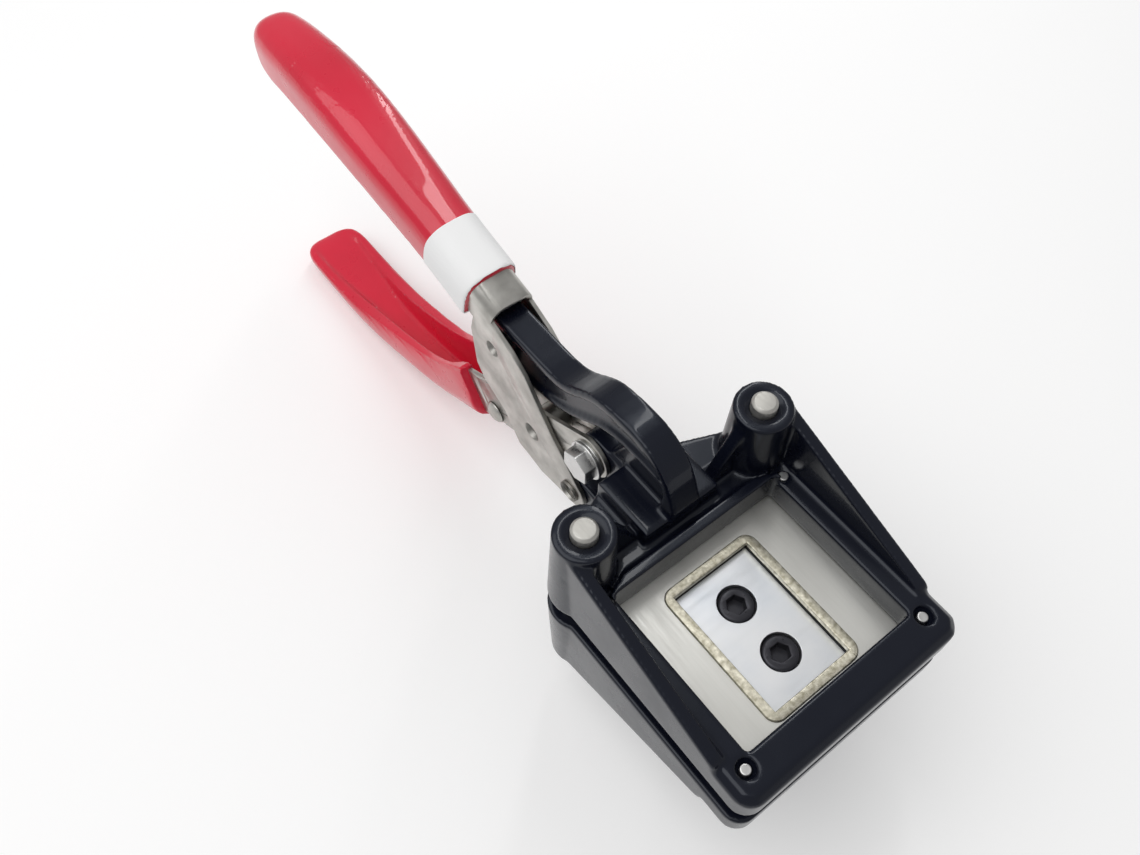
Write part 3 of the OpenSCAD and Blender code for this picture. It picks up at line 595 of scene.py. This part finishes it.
paper = new_finish("white_paper", paper_colour)
roughen(paper, low=0.5, high=0.62, scale=400)
along = Vector((0, math.cos(upper_tilt), math.sin(upper_tilt)))
across = Vector((0, -math.sin(upper_tilt), math.cos(upper_tilt)))
band = bpy.data.objects.new("paper_band", upper_grip.data.copy())
bpy.context.scene.collection.objects.link(band)
shell = bmesh.new()
shell.from_mesh(band.data)
near = min(v.co.dot(along) for v in shell.verts) + band_start
for cut, sign in ((near, -1), (near + band_length, 1)):
    bmesh.ops.bisect_plane(shell, geom=shell.verts[:] + shell.edges[:] + shell.faces[:],
                           plane_co=along * cut, plane_no=along * sign, clear_outer=True)
middle = sum((v.co for v in shell.verts), Vector()) / len(shell.verts)
inner = []
for f in shell.faces:
    spot = f.calc_center_median() - middle
    outward = Vector((spot.x, 0, 0)) + across * spot.dot(across)
    if f.normal.dot(outward.normalized()) < outward_limit or f.normal.dot(across) < trough_limit:
        inner.append(f)
bmesh.ops.delete(shell, geom=inner, context="FACES")
for v in shell.verts:
    v.co += v.normal * (paper_thickness / 2)
shell.to_mesh(band.data)
shell.free()
sheet = band.modifiers.new("sheet", "SOLIDIFY")
sheet.thickness = paper_thickness
sheet.offset = 1
plain_mesh(band)
band.data.materials.clear()
band.data.materials.append(paper)
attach(band, "upper_handle")

# Studio: a plain white floor under the tool, even light from all round, a broad lamp above
# and a long narrow one that draws the bright lines on the grips.
floor_colour = (0.86, 0.86, 0.86)
floor_size = 4.0
floor_middle = 0.1
floor_gap = 0.0005
floor_lift = 0.16
white_light = (1, 1, 1, 1)
sky_strength = 0.42
key_place = (-0.5, 0.3, 1.0)
key_size = 1.2
key_watts = 8.4
line_place = (0.35, 0.35, 0.45)
line_width = 0.05
line_length = 0.7
line_watts = 0.9

floor_finish = new_finish("white_floor", floor_colour)
roughen(floor_finish, low=0.88, high=0.92, scale=5)
sockets(floor_finish)["Emission Color"].default_value = white_light
floor_tree = floor_finish.node_tree
seen = floor_tree.nodes.new("ShaderNodeLightPath")
direct = floor_tree.nodes.new("ShaderNodeMath")
direct.operation = "MAXIMUM"
mirrored = floor_tree.nodes.new("ShaderNodeMath")
mirrored.operation = "MAXIMUM"
lift = floor_tree.nodes.new("ShaderNodeMath")
lift.operation = "MULTIPLY"
lift.inputs[1].default_value = floor_lift
floor_tree.links.new(seen.outputs["Is Camera Ray"], direct.inputs[0])
floor_tree.links.new(seen.outputs["Is Glossy Ray"], direct.inputs[1])
floor_tree.links.new(direct.outputs["Value"], mirrored.inputs[0])
floor_tree.links.new(seen.outputs["Is Transmission Ray"], mirrored.inputs[1])
floor_tree.links.new(mirrored.outputs["Value"], lift.inputs[0])
floor_tree.links.new(lift.outputs["Value"], sockets(floor_finish)["Emission Strength"])
floor_place = (0, floor_middle, cad_low.z - floor_gap)
bpy.ops.mesh.primitive_plane_add(size=floor_size, location=floor_place)
floor = bpy.context.object
floor.name = "floor"
floor.data.materials.append(floor_finish)

sky = bpy.data.worlds.new("studio")
sky.use_nodes = True
sky.node_tree.nodes["Background"].inputs["Color"].default_value = white_light
sky.node_tree.nodes["Background"].inputs["Strength"].default_value = sky_strength
bpy.context.scene.world = sky


def soft_box(name, place, target, width, length, watts):
    """A lamp with an even oblong face, turned to the target."""
    lamp = bpy.data.lights.new(name, "AREA")
    lamp.shape = "RECTANGLE"
    lamp.size = width
    lamp.size_y = length
    lamp.energy = watts
    holder = bpy.data.objects.new(name, lamp)
    aim = (Vector(target) - Vector(place)).to_track_quat("-Z", "Y").to_matrix().to_4x4()
    holder.matrix_world = Matrix.Translation(place) @ aim
    bpy.context.scene.collection.objects.link(holder)


tool_middle = (cad_low + cad_high) / 2
soft_box("key_lamp", key_place, tool_middle, key_size, key_size, key_watts)
soft_box("line_lamp", line_place, tool_middle, line_width, line_length, line_watts)

# Camera: above and to the left of the head, looking down along the tool, as in the photograph.
# Its turn, height, roll and distance are taken from the middle of the die opening.
view_azimuth = math.radians(-39.19)
view_elevation = math.radians(57.99)
view_roll = math.radians(1.3)
view_distance = 0.22461
view_right = 0.0415
view_up = -0.0426
focal_pixels = 1031.35
image_width = 1140
film_width = 36
nearest = 0.01

camera = bpy.data.objects.new("camera", bpy.data.cameras.new("camera"))
bpy.context.scene.collection.objects.link(camera)
behind = Vector((math.sin(view_azimuth) * math.cos(view_elevation),
                 -math.cos(view_azimuth) * math.cos(view_elevation), math.sin(view_elevation)))
level = Vector((0, 0, 1)).cross(behind).normalized()
upright = behind.cross(level)
right = level * math.cos(view_roll) + upright * math.sin(view_roll)
up = upright * math.cos(view_roll) - level * math.sin(view_roll)
eye = behind * view_distance - right * view_right - up * view_up
camera.matrix_world = Matrix((
    (right.x, up.x, behind.x, eye.x),
    (right.y, up.y, behind.y, eye.y),
    (right.z, up.z, behind.z, eye.z),
    (0, 0, 0, 1),
))
camera.data.sensor_width = film_width
camera.data.lens = focal_pixels / image_width * film_width
camera.data.clip_start = nearest
bpy.context.scene.camera = camera
bpy.context.scene.view_settings.view_transform = "Standard"
